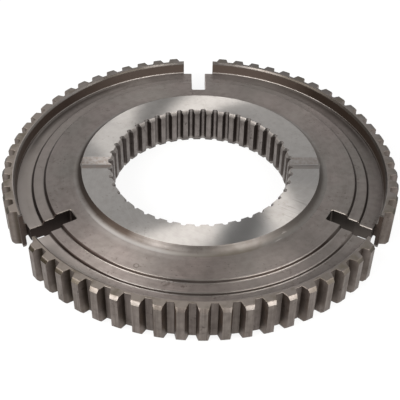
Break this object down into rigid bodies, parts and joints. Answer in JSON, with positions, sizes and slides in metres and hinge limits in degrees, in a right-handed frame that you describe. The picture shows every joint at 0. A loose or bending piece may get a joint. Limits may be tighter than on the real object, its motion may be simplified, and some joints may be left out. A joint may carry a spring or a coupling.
{
  "type": "synchroniser hub",
  "caption": "Flat steel ring with a toothed rim, a thinner stepped web with key slots, and a splined bore; it turns with a gearbox shaft and carries the sliding shift sleeve.",
  "frame": {"origin": "on the axis of the splined bore, in the plane of the toothed rim's lower face", "axes": "+Z along the bore's axis, towards the upper face; +Y along the key slot at the back; the part lies flat on its rim"},
  "size_m": [0.193, 0.1922, 0.0204],
  "materials": {
    "steel": "machined and lightly oxidised, hub faces ground bright"
  },
  "bodies": {
    "root": {"synchroniser_body": "steel"}
  },
  "joints": []
}
